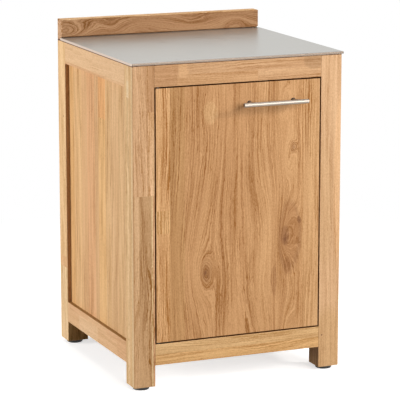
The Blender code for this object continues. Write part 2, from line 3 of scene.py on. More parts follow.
import bmesh
import bpy
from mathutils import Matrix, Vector


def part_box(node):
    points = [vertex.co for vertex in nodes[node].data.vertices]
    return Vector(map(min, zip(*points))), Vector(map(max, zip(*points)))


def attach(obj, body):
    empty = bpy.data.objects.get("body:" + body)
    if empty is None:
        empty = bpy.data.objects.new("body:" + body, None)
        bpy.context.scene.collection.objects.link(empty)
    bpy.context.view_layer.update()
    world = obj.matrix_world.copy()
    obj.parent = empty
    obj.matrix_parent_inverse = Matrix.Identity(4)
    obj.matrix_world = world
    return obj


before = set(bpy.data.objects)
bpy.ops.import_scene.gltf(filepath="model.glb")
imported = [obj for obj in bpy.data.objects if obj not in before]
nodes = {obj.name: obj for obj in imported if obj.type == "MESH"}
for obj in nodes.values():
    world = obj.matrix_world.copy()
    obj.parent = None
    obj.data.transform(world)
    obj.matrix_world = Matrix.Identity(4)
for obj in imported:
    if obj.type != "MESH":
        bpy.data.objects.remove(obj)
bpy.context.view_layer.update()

# Posts: 60 mm square teak, glued up from staves with butt joints and sanded after glueing.
# Teak comes in honey, straw and brown tones side by side, so each stave has its own tone.
# Places on the wood are in millimetres, the way a joiner would mark the staves.


def srgb(code):
    """An sRGB hex value as a linear colour."""
    channels = [int(code[i:i + 2], 16) / 255 for i in (0, 2, 4)]
    return [c / 12.92 if c <= 0.04045 else ((c + 0.055) / 1.055) ** 2.4 for c in channels] + [1.0]


def add(tree, kind, links, out=0, **settings):
    """Add a shader node with its settings and its linked or fixed inputs, and give an output."""
    made = tree.nodes.new("ShaderNode" + kind)
    for key, value in settings.items():
        setattr(made, key, value)
    for socket, value in links.items():
        if isinstance(value, bpy.types.NodeSocket):
            tree.links.new(value, made.inputs[socket])
        else:
            made.inputs[socket].default_value = value
    return made.outputs[out] if made.outputs else None


def new_finish(name, **fixed):
    """A material with its node tree and its shader, and the shader's fixed values set."""
    material = bpy.data.materials.new(name)
    material.use_nodes = True
    shader = material.node_tree.nodes["Principled BSDF"]
    for socket, value in fixed.items():
        shader.inputs[socket.replace("_", " ")].default_value = value
    return material, material.node_tree, shader


def millimetres(tree):
    """Places on a piece in millimetres, which stay put when the piece moves."""
    place = add(tree, "TexCoord", {}, 3)
    return add(tree, "VectorMath", {0: place, "Scale": 1000.0}, operation="SCALE")


def marks(tree, place, size, low=0.0, high=1.0, detail=2.0, roughness=0.5):
    """Soft marks of a size in mm on each axis: none at the low level, full at the high one."""
    place = add(tree, "VectorMath", {0: place, 1: tuple(1.0 / s for s in size)},
                operation="MULTIPLY")
    cloud = add(tree, "TexNoise", {"Vector": place, "Scale": 1.0, "Detail": detail,
                                   "Roughness": roughness})
    return add(tree, "MapRange", {0: cloud, 1: low, 2: high})


def off_centre(tree, place, across, along, half_width, half_length):
    """The squared distance from the middle of an oval on the board: 1 on its rim."""
    offset = add(tree, "VectorMath", {0: place, 1: (1.0 / half_width, 1.0 / half_length, 0.0),
                                      2: (-across / half_width, -along / half_length, 0.0)},
                 operation="MULTIPLY_ADD")
    return add(tree, "VectorMath", {0: offset, 1: offset}, 1, operation="DOT_PRODUCT")


AXES = {"X": 0, "Y": 1, "Z": 2}
HONEY, STRAW, ROSE, AMBER = "e6bb86", "e8c791", "e2b081", "e9b97b"
TAN, BROWN = "dab07f", "c99a68"
# Faces inside the door's gap are painted dark brown, as painted shade; knots are nearly as dark at
# the heart.
GAP_SHADE = "7b4715"
KNOT_HEART = "7b4f30"
# Late wood and the slow bands between rings deepen the board's own tone by these tints.
LATE_WOOD_TINT = "aa8a4a"
BAND_TINT = "e0d3c6"

# The lie of the rings, in mm across, along and through the board.
STAVE_SPREAD = (420.0, 900.0, 160.0)
HEART_DISTANCE = (500.0, 0.0, 0.0)
SLOW_DRIFT, SLOW_REACH = (320.0, 620.0, 320.0), 90.0
QUICK_DRIFT, QUICK_REACH = (45.0, 300.0, 45.0), 13.0
WAVER, WAVER_REACH = (34.0, 80.0, 34.0), (9.0, 30.0, 0.0)
FRAY, FRAY_REACH = (7.0, 24.0, 7.0), 5.5
# The marks in the wood, in mm across, along and through the grain.
RING_WIDTHS = (38.0, 4000.0, 900.0)
RING_PATCHES = (26.0, 260.0, 40.0)
QUIET_STRETCHES = (30.0, 350.0, 60.0)
PORE_LENGTH = 260.0
DASHES = (2.4, 30.0, 6.0)
FLECKS = (2.6, 5.0, 2.6)
SLOW_BANDS = (16.0, 800.0, 40.0)
KNOT_MOTTLE = (5.0, 12.0, 5.0)
RING_UNEVENNESS, KNOT_SHARPNESS = 3.0, 6.0
PATCH_RIM, PATCH_CORE = 1.35, 0.7
# How strongly lines, bands, dashes and flecks show.
LINE_DEPTH, BAND_DEPTH, DASH_DEPTH, FLECK_DEPTH = 0.62, 0.45, 0.7, 0.26


def teak(name, seed, along, across, tones, stave=45.0, joint=420.0, boards=(), eyes=(), shades=(),
         lively=(), ring=9.0, late_wood=0.45, figure=1.0, contrast=1.0, pore=2.5, slant=0.04):
    """Sanded teak: dull satin, growth rings as soft dark lines, streaks that follow the rings.

    stave and joint are the staves' width and the length between end joints, in mm.
    boards lists (tone, range across, range along, range through), each range a pair or None.
    eyes lists (across, along, half width, half length, part, push, heart): round a knot the
    grain parts by a share of the distance, closes into rings, and darkens at its heart.
    shades lists (tone, across, along, half width, half length, share) of tinted patches.
    lively lists (range across, factor): strips whose lines are stronger or weaker by a factor.
    ring is the ring width and pore the width of a streak, both in mm. late_wood is how much
    the ring lines show, and contrast how strong all lines are. figure bends the rings, and
    slant lets them run out of the board. seed picks the log, and tones the staves' colours.
    """
    material, tree, shader = new_finish(name, IOR=1.5, Specular_IOR_Level=0.2)
    through = [a for a in AXES if a not in (along, across)][0]
    place = add(tree, "SeparateXYZ", {0: millimetres(tree)}).node.outputs
    side, length, depth = (place[AXES[a]] for a in (across, along, through))
    wood = add(tree, "CombineXYZ", {0: side, 1: length, 2: depth})

    # Each stave has a number across the grain, and each length between end joints another.
    row = add(tree, "Math", {0: side, 1: 1.0 / stave, 2: seed * 0.37}, operation="MULTIPLY_ADD")
    row = add(tree, "Math", {0: row}, operation="FLOOR")
    start = add(tree, "TexWhiteNoise", {"W": row}, noise_dimensions="1D")
    piece = add(tree, "Math", {0: length, 1: 1.0 / joint, 2: start}, operation="MULTIPLY_ADD")
    piece = add(tree, "Math", {0: piece}, operation="FLOOR")
    number = add(tree, "CombineXYZ", {0: row, 1: piece, 2: seed})
    pick = add(tree, "TexWhiteNoise", {"Vector": number}, noise_dimensions="3D")
    colour = add(tree, "ValToRGB", {0: pick})
    ramp = colour.node.color_ramp
    ramp.interpolation = "CONSTANT"
    for i, tone in enumerate(tones):
        stop = ramp.elements[i] if i < 2 else ramp.elements.new(i / len(tones))
        stop.position = i / len(tones)
        stop.color = srgb(tone)
    if len(tones) == 1:
        ramp.elements[1].color = srgb(tones[0])

    # Boards that show in a known place take their own tone and their own stretch of the log.
    for i, (tone, *ranges) in enumerate(boards):
        inside = 1.0
        for value, limits in zip((side, length, depth), ranges):
            if limits:
                middle, half = sum(limits) / 2, abs(limits[1] - limits[0]) / 2
                within = add(tree, "Math", {0: value, 1: middle, 2: half}, operation="COMPARE")
                inside = add(tree, "Math", {0: within, 1: inside}, operation="MULTIPLY")
        colour = add(tree, "Mix", {0: inside, 6: colour, 7: srgb(tone)}, 2, data_type="RGBA")
        number = add(tree, "Mix", {0: inside, 4: number, 5: (seed + 7.3, i + 11.7, 5.1 * i)}, 1,
                     data_type="VECTOR")

    # A stave comes from its own place in the log, and its rings lie round the log's heart.
    cut = add(tree, "TexWhiteNoise", {"Vector": number}, 1, noise_dimensions="3D")
    shift = add(tree, "VectorMath", {0: cut, 1: STAVE_SPREAD, 2: HEART_DISTANCE},
                operation="MULTIPLY_ADD")
    log = add(tree, "VectorMath", {0: wood, 1: shift}, operation="ADD")
    radius = add(tree, "VectorMath", {0: log, 1: (1.0, 0.0, 1.0)}, operation="MULTIPLY")
    radius = add(tree, "VectorMath", {0: radius}, 1, operation="LENGTH")
    for size, reach in ((SLOW_DRIFT, SLOW_REACH), (QUICK_DRIFT, QUICK_REACH)):
        drift = marks(tree, log, size, detail=1.0)
        radius = add(tree, "Math", {0: drift, 1: reach * figure, 2: radius},
                     operation="MULTIPLY_ADD")
    lean = add(tree, "TexWhiteNoise", {"Vector": number}, noise_dimensions="3D")
    lean = add(tree, "Math", {0: lean, 1: slant, 2: -slant / 2}, operation="MULTIPLY_ADD")
    radius = add(tree, "Math", {0: lean, 1: length, 2: radius}, operation="MULTIPLY_ADD")

    # Knots and arches are ovals that waver a little; each pushes the rings out or in.
    waver = add(tree, "VectorMath", {0: wood, 1: tuple(1.0 / size for size in WAVER)},
                operation="MULTIPLY")
    waver = add(tree, "TexNoise", {"Vector": waver, "Scale": 1.0, "Detail": 4.0,
                                   "Roughness": 0.62}, 1)
    waver = add(tree, "VectorMath", {0: waver, 1: WAVER_REACH,
                                     2: tuple(-reach / 2 for reach in WAVER_REACH)},
                operation="MULTIPLY_ADD")
    bent = add(tree, "VectorMath", {0: wood, 1: waver}, operation="ADD")
    hearts = 0.0
    for u, v, half_width, half_length, part, push, heart in eyes:
        near = off_centre(tree, bent, u, v, half_width, half_length)
        near = add(tree, "Math", {0: near, 1: -1.0}, operation="MULTIPLY")
        near = add(tree, "Math", {0: near}, operation="EXPONENT")
        radius = add(tree, "Math", {0: near, 1: push, 2: radius}, operation="MULTIPLY_ADD")
        bend = add(tree, "Math", {0: side, 1: u}, operation="SUBTRACT")
        bend = add(tree, "Math", {0: bend, 1: near}, operation="MULTIPLY")
        radius = add(tree, "Math", {0: bend, 1: -part, 2: radius}, operation="MULTIPLY_ADD")
        core = add(tree, "Math", {0: near, 1: KNOT_SHARPNESS}, operation="POWER")
        hearts = add(tree, "Math", {0: core, 1: heart, 2: hearts}, operation="MULTIPLY_ADD")
    fray = marks(tree, wood, FRAY)
    radius = add(tree, "Math", {0: fray, 1: FRAY_REACH, 2: radius}, operation="MULTIPLY_ADD")
    log = add(tree, "SeparateXYZ", {0: log}).node.outputs
    flow = add(tree, "CombineXYZ", {0: radius, 1: log[1], 2: log[2]})

    for tone, *oval, share in shades:
        patch = off_centre(tree, bent, *oval)
        patch = add(tree, "MapRange", {0: patch, 1: PATCH_RIM, 2: PATCH_CORE, 4: share},
                    interpolation_type="SMOOTHSTEP")
        colour = add(tree, "Mix", {0: patch, 6: colour, 7: srgb(tone)}, 2, data_type="RGBA")

    # Growth rings: colour deepens slowly through a ring and ends in a thin line of late wood.
    uneven = marks(tree, flow, RING_WIDTHS, detail=1.0)
    turn = add(tree, "Math", {0: uneven, 1: RING_UNEVENNESS}, operation="MULTIPLY")
    turn = add(tree, "Math", {0: radius, 1: 1.0 / ring, 2: turn}, operation="MULTIPLY_ADD")
    turn = add(tree, "Math", {0: turn}, operation="FRACT")
    late = add(tree, "ValToRGB", {0: turn})
    ramp = late.node.color_ramp
    ramp.interpolation = "EASE"
    for stop, level in zip((ramp.elements[0], ramp.elements[1], ramp.elements.new(0.62),
                            ramp.elements.new(0.88)), (0.0, 0.0, 0.2, 1.0)):
        stop.color = (level, level, level, 1.0)
    patchy = marks(tree, flow, RING_PATCHES, 0.44, 0.76)
    rings = add(tree, "Math", {0: late, 1: patchy}, operation="MULTIPLY")
    # Pores are 0.3 mm wide and too fine to show, so they are drawn as streaks 2 to 6 mm wide.
    quiet = marks(tree, flow, QUIET_STRETCHES, 0.35, 0.65)
    quiet = add(tree, "MapRange", {0: quiet, 3: 0.3, 4: 1.25})
    streaks = marks(tree, flow, (pore, PORE_LENGTH, 2.5 * pore), 0.40, 0.62, 3.0, 0.65)
    dashes = marks(tree, flow, DASHES, 0.60, 0.72)
    flecks = marks(tree, wood, FLECKS, 0.35, 0.70, 2.0, 0.6)
    lines = add(tree, "Math", {0: dashes, 1: DASH_DEPTH, 2: streaks}, operation="MULTIPLY_ADD")
    lines = add(tree, "Math", {0: lines, 1: quiet}, operation="MULTIPLY")

    bands = marks(tree, flow, SLOW_BANDS, 0.34, 0.66)
    bands = add(tree, "Math", {0: bands, 1: BAND_DEPTH * contrast}, operation="MULTIPLY")
    colour = add(tree, "Mix", {0: bands, 6: colour, 7: srgb(BAND_TINT)}, 2, data_type="RGBA",
                 blend_type="MULTIPLY")
    dark = add(tree, "Math", {0: rings, 1: late_wood, 2: lines}, operation="MULTIPLY_ADD")
    depth_of_line = LINE_DEPTH * contrast
    for limits, factor in lively:
        middle, half = sum(limits) / 2, abs(limits[1] - limits[0]) / 2
        within = add(tree, "Math", {0: side, 1: middle, 2: half}, operation="COMPARE")
        depth_of_line = add(tree, "Math", {0: within, 1: LINE_DEPTH * contrast * (factor - 1),
                                           2: depth_of_line}, operation="MULTIPLY_ADD")
    dark = add(tree, "Math", {0: dark, 1: depth_of_line}, operation="MULTIPLY")
    dark = add(tree, "Math", {0: flecks, 1: FLECK_DEPTH, 2: dark}, operation="MULTIPLY_ADD",
               use_clamp=True)
    deep = add(tree, "Mix", {0: 1.0, 6: colour, 7: srgb(LATE_WOOD_TINT)}, 2, data_type="RGBA",
               blend_type="MULTIPLY")
    colour = add(tree, "Mix", {0: dark, 6: colour, 7: deep}, 2, data_type="RGBA")
    if eyes:
        mottle = marks(tree, bent, KNOT_MOTTLE, 0.34, 0.58)
        hearts = add(tree, "Math", {0: hearts, 1: mottle}, operation="MULTIPLY", use_clamp=True)
        colour = add(tree, "Mix", {0: hearts, 6: colour, 7: srgb(KNOT_HEART)}, 2,
                     data_type="RGBA")
    tree.links.new(colour, shader.inputs["Base Color"])

    # Sanded pores stay slightly open, which dulls the satin along each streak.
    height = add(tree, "Math", {0: dark, 1: -1.0}, operation="MULTIPLY")
    relief = add(tree, "Bump", {"Strength": 0.3, "Distance": 0.0003, "Height": height})
    tree.links.new(relief, shader.inputs["Normal"])
    gloss = add(tree, "MapRange", {0: streaks, 3: 0.55, 4: 0.7})
    tree.links.new(gloss, shader.inputs["Roughness"])
    return material


def dress(node_name, material):
    """Give a CAD node its finish."""
    slots = nodes[node_name].data.materials
    slots.clear()
    slots.append(material)


# The faces inside the door's gap are painted darker: painted shade for the gap.
GAP_DEPTH = (-271.5, -249)
# Under the worktop's fold a thin line of the frame is painted dark: a painted shadow of the fold's
# overhang.
FOLD_SHADOW = "6b4227"
FRONT_FOLD = (871.2, 873.2)
SIDE_FOLD = (869.4, 873.2)
# The front left post's left face, where its staves show on edge.
LEFT_FACE = (-301, -299)
POST_TONES = (HONEY, STRAW, TAN, HONEY, ROSE)
dress("post_front_left", teak(
    "teak_front_left_post", 3.0, "Z", "X", (TAN,), boards=(
        ("e6bc92", (-301, -257), None, None),
        ("d3a67a", (-257, -240), (750, 874), None),
        ("f6cda2", (-257, -240), (528, 750), None),
        ("e0b88d", (-301, -284), (9, 528), None),
        ("d1a97d", (-284, -249), (9, 528), (-272, -250)),
        ("ecd0a0", (-249, -246), (9, 528), None),
        ("e6b88e", (-246, -240), (9, 528), None),
        ("e4be8c", LEFT_FACE, None, (-226, -211)),
        ("edcb9c", LEFT_FACE, None, (-241, -226)),
        ("e3bc8a", LEFT_FACE, None, (-256, -241)),
        ("ebcea2", LEFT_FACE, None, (-267, -256)),
        ("c79a68", LEFT_FACE, None, (-271, -269.5)),
        ("f8e0b8", LEFT_FACE, (786, 830), (-241, -226)),
        ("dcb888", LEFT_FACE, (690, 786), (-234, -226)),
        # Painted shade: the post's face inside the door's gap is painted brown.
        (BROWN, (-240.2, -239), None, GAP_DEPTH),
        # Painted shadow: a thin line under the worktop's folds is painted dark.
        (FOLD_SHADOW, None, FRONT_FOLD, None),
        (FOLD_SHADOW, LEFT_FACE, SIDE_FOLD, (-272, -210))),
    eyes=((-262, 380, 12, 90, 0, 15, 0), (-275, 150, 10, 80, 0, 12, 0)),
    lively=((LEFT_FACE, 0.55),), figure=0.8, contrast=1.1, pore=2.8, slant=0.12))
dress("post_front_right", teak(
    "teak_front_right_post", 5.0, "Z", "X", (HONEY,), stave=75.0, joint=5000.0,
    boards=(("dfb68c", (239, 301), None, None),
            # Painted shade: the post's face inside the door's gap is painted dark.
            (GAP_SHADE, (239, 240.2), None, GAP_DEPTH),
            # Painted shadow: a thin line under the worktop's front fold is painted dark.
            (FOLD_SHADOW, None, FRONT_FOLD, None)),
    shades=(("ecc092", 296, 520, 15, 230, 0.85),
            ("d8b083", 255, 470, 22, 170, 0.6),
            ("d4ab7c", 270, 20, 60, 150, 0.9)),
    ring=12.0, figure=0.5, contrast=0.6, pore=3.5))
dress("post_back_left", teak(
    "teak_back_left_post", 8.0, "Z", "Y", POST_TONES, boards=(
        ("f8d2a0", None, (255, 900), None),
        ("f0c493", None, (224, 255), None),
        ("f5d4a5", None, (9, 224), None),
        # Painted light: the leg's front face below the bottom rail is painted brighter and redder,
        # standing in for light bounced from the floor.
        ("ffd390", (248, 250), (9, 68), None),
        # Painted shade: the post's face inside the side panel's recess is painted darker.
        ("caa178", (248, 250), (126, 811), None),
        # Painted shadow: a thin line under the worktop's side fold is painted dark.
        (FOLD_SHADOW, None, SIDE_FOLD, None)), contrast=0.8, pore=6.0))
dress("post_back_right", teak("teak_back_right_post", 13.0, "Z", "X", POST_TONES))

# Brads: two headless steel pins, sunk and filled, that lock tenons in their mortises.
# Only the dark dot of filler shows, 4.2 mm across and a hair proud of the sanded face.
BRAD_RADIUS = 0.0021
BRAD_CROWN = 0.0015
BRAD_PROUD, BRAD_EDGE, BRAD_DEPTH = 0.00008, 0.00006, 0.001
BRAD_FRONT_X, BRAD_FRONT_Z = 0.2496, 0.1005
BRAD_SIDE_Y, BRAD_SIDE_Z = 0.2686, 0.659


def fine_finish(name, grain, dark, light, rough, height=0.0, **fixed):
    """A finish whose one fine pattern, of a size in mm, moves its colour, gloss and height."""
    material, tree, shader = new_finish(name, **fixed)
    pattern = marks(tree, millimetres(tree), grain, 0.3, 0.7)
    colour = add(tree, "Mix", {0: pattern, 6: srgb(dark), 7: srgb(light)}, 2, data_type="RGBA")
    gloss = add(tree, "MapRange", {0: pattern, 3: rough[0], 4: rough[1]})
    relief = add(tree, "Bump", {"Strength": 0.3, "Distance": height / 1000, "Height": pattern})
    tree.links.new(colour, shader.inputs["Base Color"])
    tree.links.new(gloss, shader.inputs["Roughness"])
    tree.links.new(relief, shader.inputs["Normal"])
    return material


def circle(radius, height, steps=24):
    """A ring of points round the piece's own axis."""
    turns = [2 * math.pi * i / steps for i in range(steps)]
    return [(radius * math.cos(turn), radius * math.sin(turn), height) for turn in turns]


def small_piece(name, rings, centre, direction, material, body):
    """A small turned or pressed piece skinned over rings of points; a single point closes it."""
    shape = bmesh.new()
    rings = [[shape.verts.new(point) for point in ring] for ring in rings]
    for upper, lower in zip(rings, rings[1:]):
        count = max(len(upper), len(lower))
        for i in range(count):
            j = (i + 1) % count
            if len(upper) == 1:
                shape.faces.new((upper[0], lower[i], lower[j]))
            elif len(lower) == 1:
                shape.faces.new((upper[j], upper[i], lower[0]))
            else:
                shape.faces.new((upper[j], upper[i], lower[i], lower[j]))
    bmesh.ops.remove_doubles(shape, verts=shape.verts, dist=0.000001)
    mesh = bpy.data.meshes.new(name)
    shape.to_mesh(mesh)
    shape.free()
    mesh.shade_smooth()
    mesh.set_sharp_from_angle(angle=math.radians(40))
    mesh.materials.append(material)
    piece = bpy.data.objects.new(name, mesh)
    bpy.context.scene.collection.objects.link(piece)
    piece.location = centre
    piece.rotation_euler = Vector((0, 0, 1)).rotation_difference(Vector(direction)).to_euler()
    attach(piece, body)


# Wood filler is matt and grainy; its 0.2 mm grain is drawn 1.2 mm wide.
filler = fine_finish("brown_wood_filler", (1.2, 1.2, 1.2), "5b3c24", "80583a", (0.75, 0.9))
brad_dot = ([(0.0, 0.0, BRAD_PROUD)], circle(BRAD_CROWN, BRAD_EDGE), circle(BRAD_RADIUS, 0.0),
            circle(BRAD_RADIUS, -BRAD_DEPTH), [(0.0, 0.0, -BRAD_DEPTH)])
corner_of_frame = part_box("post_front_left")[0]
small_piece("brad_front_right", brad_dot, (BRAD_FRONT_X, corner_of_frame.y, BRAD_FRONT_Z),
            (0, -1, 0), filler, "frame")
small_piece("brad_back_left", brad_dot, (corner_of_frame.x, BRAD_SIDE_Y, BRAD_SIDE_Z),
            (-1, 0, 0), filler, "frame")

# Rails: teak 36 mm thick, flush with the posts, tenoned into them and sanded in one pass.
# The grain runs along each rail, so the joint to the post shows as a change of direction.
# Each front rail is two boards high; the top one starts with a darker length at the left.
dress("rail_front_top", teak(
    "teak_front_top_rail", 21.0, "X", "Z", (HONEY, AMBER), stave=31.0, joint=260.0, boards=(
        ("cea074", None, (-241, -172), None),
        ("e5b98b", (838, 874), (-172, -149), None),
        ("d9ac7e", (813, 843), (-176, 55), None),
        ("d8ad82", (843, 874), (-149, 241), None),
        ("dbb085", (813, 843), (55, 241), None),
        # Painted shade: the rail's face inside the door's gap is painted dark.
        (GAP_SHADE, (813.5, 814.2), None, GAP_DEPTH),
        # Painted shadow: a thin line under the worktop's front fold is painted dark.
        (FOLD_SHADOW, FRONT_FOLD, None, None)),
    shades=(("bf9870", 860, 218, 22, 28, 0.75),
            ("e6b98b", 846, -158, 12, 15, 0.7)), ring=7.0, figure=0.5, contrast=0.75))
dress("rail_front_bottom", teak(
    "teak_front_bottom_rail", 24.0, "X", "Z", (STRAW, HONEY), stave=80.0, joint=900.0,
    boards=(("e9c28e", (96, 126), None, None),
            ("e8bb82", (67, 96), None, None),
            # Painted shade: the rail's top face inside the door's gap is painted dark.
            (GAP_SHADE, (125.3, 126), None, GAP_DEPTH)), ring=8.0, figure=0.6, contrast=0.8))
# The top ledge of the side and back bottom rails, below the recessed panels, is painted darker:
# painted shade.
SHADED_LEDGE, LEDGE_HEIGHTS = "a87f4a", (125.2, 126)
for position, tone_set, number in (("back", POST_TONES, 27.0),
                                   ("left", ("e4b98c", "deb083", "e9c297"), 33.0),
                                   ("right", (HONEY, STRAW), 41.0)):
    run = "X" if position == "back" else "Y"
    for level in ("top", "bottom"):
        dress(f"rail_{position}_{level}", teak(
            f"teak_{position}_{level}_rail", number + len(level), run, "Z", tone_set, stave=70.0,
            # Painted shade on the bottom rails' top ledge.
            joint=150.0, boards=((SHADED_LEDGE, LEDGE_HEIGHTS, None, None),
                                 # Painted shadow: a thin line under the worktop's side fold is
                                 # painted dark.
                                 (FOLD_SHADOW, SIDE_FOLD, None, None)),
            figure=0.4, contrast=0.3, pore=3.5))

# Side and back panels: 12 mm teak, edge-glued from staves about 60 mm wide, loose in grooves.
# Quiet straight grain; on the left one stave is yellow, with an orange length at its top.
dress("panel_left", teak(
    "teak_left_panel", 52.0, "Z", "Y", (HONEY, HONEY, TAN), stave=62.0, joint=700.0, boards=(
        ("ecbd83", (214, 251), None, None),
        ("ebc08c", (150, 214), None, None),
        ("e5b887", (107, 150), None, None),
        ("eab888", (48, 107), None, None),
        ("e1b585", (19, 48), None, None),
        ("edc086", (-36, 19), None, None),
        ("f0b87d", (-36, 19), (695, 830), None),
        ("e8bf8c", (-74, -36), None, None),
        ("e6bd8d", (-135, -74), None, None),
        ("e9c291", (-170, -135), None, None),
        ("e7c092", (-246, -170), None, None)), ring=26.0, figure=0.5, contrast=0.7, pore=6.0,
    slant=0.02))
dress("panel_right", teak("teak_right_panel", 57.0, "Z", "Y", (HONEY, ROSE, STRAW, HONEY),
                          stave=62.0, joint=700.0, figure=0.4, contrast=0.7))
dress("panel_back", teak("teak_back_panel", 61.0, "Z", "X", (HONEY, STRAW, HONEY, TAN),
                         stave=62.0, joint=700.0, figure=0.4, contrast=0.7))

# Floor: five teak slats screwed down on two cleats, which are screwed to the side rails.
# The screws are countersunk flush, 7 mm across the head with a cross recess.
# Zinc plate is a bluish grey metal with a faint cloudy spangle.
zinc = fine_finish("zinc_plated_steel", (2.5, 2.5, 2.5), "a9adb2", "c9ccd0", (0.3, 0.48),
                   Metallic=1.0)
WOOD_SCREW = 0.0035
SLATS = range(1, 6)
CLEAT_SCREWS = 4


def screw(name, place, direction, radius, body, material=zinc):
    """A countersunk screw head, 0.1 mm proud at most, with a tapered cross recess."""
    arm, half_arm = 0.6, 0.14
    proud, edge, recess, recess_tip = 0.0001, 0.0004, 0.0012, 0.0014
    corner = ((arm, -half_arm), (arm, half_arm), (half_arm, half_arm))
    cross = [(x * c - y * s, x * s + y * c) for c, s in ((1, 0), (0, 1), (-1, 0), (0, -1))
             for x, y in corner]
    rim = [Vector(point).normalized() for point in cross]
    cone_tip = -edge - radius * 0.5
    levels = ((rim, 0.0, cone_tip), (rim, 1.0, -edge), (rim, 1.0, 0.0), (rim, 0.94, proud),
              (cross, 1.0, proud), (cross, 0.6, -recess), (rim, 0.0, -recess_tip))
    rings = []
    for outline, share, height in levels:
        if share == 0.0:
            rings.append([(0.0, 0.0, height)])
        else:
            rings.append([(x * radius * share, y * radius * share, height) for x, y in outline])
    small_piece(name, rings[::-1], place, direction, material, body)


def cleat(kind, side, seed):
    """A teak cleat with four screws into the side rail; gives its box."""
    name = f"{kind}_cleat_{side}"
    dress(name, teak("teak_" + name, seed, "Y", "Z", POST_TONES))
    low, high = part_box(name)
    inward = 1 if low.x < 0 else -1
    face_x = high.x if inward > 0 else low.x
    for i in range(CLEAT_SCREWS):
        y = low.y + (high.y - low.y) * (i + 0.5) / CLEAT_SCREWS
        screw(f"{kind}_cleat_screw_{side}_{i + 1}", (face_x, y, (low.z + high.z) / 2),
              (inward, 0, 0), WOOD_SCREW, "frame")
    return low, high


for side in ("left", "right"):
    low, high = cleat("floor", side, 70.0)
    for i in SLATS:
        slat_low, slat_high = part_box(f"floor_slat_{i}")
        for quarter in (1, 3):
            y = slat_low.y + (slat_high.y - slat_low.y) * quarter / 4
            if low.y < y < high.y:
                screw(f"floor_slat_screw_{side}_{i}_{quarter}",
                      ((low.x + high.x) / 2, y, slat_high.z), (0, 0, 1), WOOD_SCREW, "frame")
for i in SLATS:
    dress(f"floor_slat_{i}", teak(f"teak_floor_slat_{i}", 72.0 + i, "X", "Y", POST_TONES,
                                  stave=99.0, joint=900.0, figure=0.8))

# Shelf: an 18 mm teak board, edge-glued from staves, lying loose on four pins.
# The pins are turned steel, zinc plated, 5 mm thick with a collar.
dress("shelf_board", teak("teak_shelf", 83.0, "X", "Y", POST_TONES, stave=70.0, joint=500.0,
                          figure=0.6))
CORNERS = ("front_left", "front_right", "back_left", "back_right")
for corner in CORNERS:
    dress("shelf_pin_" + corner, zinc)

# Worktop: one 1.2 mm stainless sheet folded over a black laminate board, carried by cleats.
# Brushed along the front, so reflections blur into soft bands and no scratch stands out.
for side in ("left", "right"):
    cleat("worktop", side, 90.0)
# Compact laminate is a dull black, its paper layers 0.8 mm thick.
dress("worktop_board", fine_finish("black_compact_laminate", (30.0, 30.0, 0.8), "1c1a19", "2c2826",
                                   (0.45, 0.6), 0.05))

BRUSH_WIDTH, BRUSH_LENGTH = 0.5, 110.0
CLOUDINESS = (140.0, 140.0, 140.0)
GLOSS_SPREAD, CLOUD_DULLNESS = 0.05, 0.08


def brushed_steel(name, axis, tint, roughness, scratch):
    """Satin stainless steel, brushed along an axis: fine lines that barely show.

    The real lines are 0.1 mm apart and too fine to show, so they are drawn 0.5 mm apart.
    """
    material, tree, shader = new_finish(name, Metallic=1.0, Anisotropic=0.3,
                                        Anisotropic_Rotation=0.25)
    size = [BRUSH_WIDTH] * 3
    size[AXES[axis]] = BRUSH_LENGTH
    place = millimetres(tree)
    brushing = marks(tree, place, size)
    cloudy = marks(tree, place, CLOUDINESS, detail=3.0)
    gloss = add(tree, "MapRange", {0: brushing, 1: 0.3, 2: 0.7, 3: roughness - GLOSS_SPREAD,
                                   4: roughness + GLOSS_SPREAD})
    gloss = add(tree, "Math", {0: cloudy, 1: CLOUD_DULLNESS, 2: gloss}, operation="MULTIPLY_ADD")
    shade = add(tree, "Mix", {0: brushing, 6: srgb(tint[0]), 7: srgb(tint[1])}, 2,
                data_type="RGBA")
    relief = add(tree, "Bump", {"Strength": scratch, "Distance": 0.00005, "Height": brushing})
    tree.links.new(shade, shader.inputs["Base Color"])
    tree.links.new(gloss, shader.inputs["Roughness"])
    tree.links.new(relief, shader.inputs["Normal"])
    # Highlights stretch across the lines. These run a hair off the axis, so that faces
    # square to it have a direction too.
    lines = tuple(1.0 if a == axis else 0.01 for a in AXES)
    lines = add(tree, "VectorTransform", {0: lines}, vector_type="VECTOR", convert_from="OBJECT",
                convert_to="WORLD")
    tree.links.new(lines, shader.inputs["Tangent"])
    return material


# The sheet's colour is painted darker and warmer on the front fold, as a painted reflection of
# darker surroundings, and lighter on the side folds, as painted light.
sheet_steel = brushed_steel("brushed_stainless_worktop", "X", ("a19f99", "acaaa4"), 0.28, 0.15)
FRONT_FOLD_START, FRONT_FOLD_END, FRONT_FOLD_PAINTED_REFLECTION = -272.8, -273.8, "a8988e"
SIDE_FOLD_START, SIDE_FOLD_END, SIDE_FOLD_PAINTED_LIGHT = 303.4, 304.2, "cfbcab"
tree = sheet_steel.node_tree
shader = tree.nodes["Principled BSDF"]
place = add(tree, "SeparateXYZ", {0: millimetres(tree)}).node.outputs
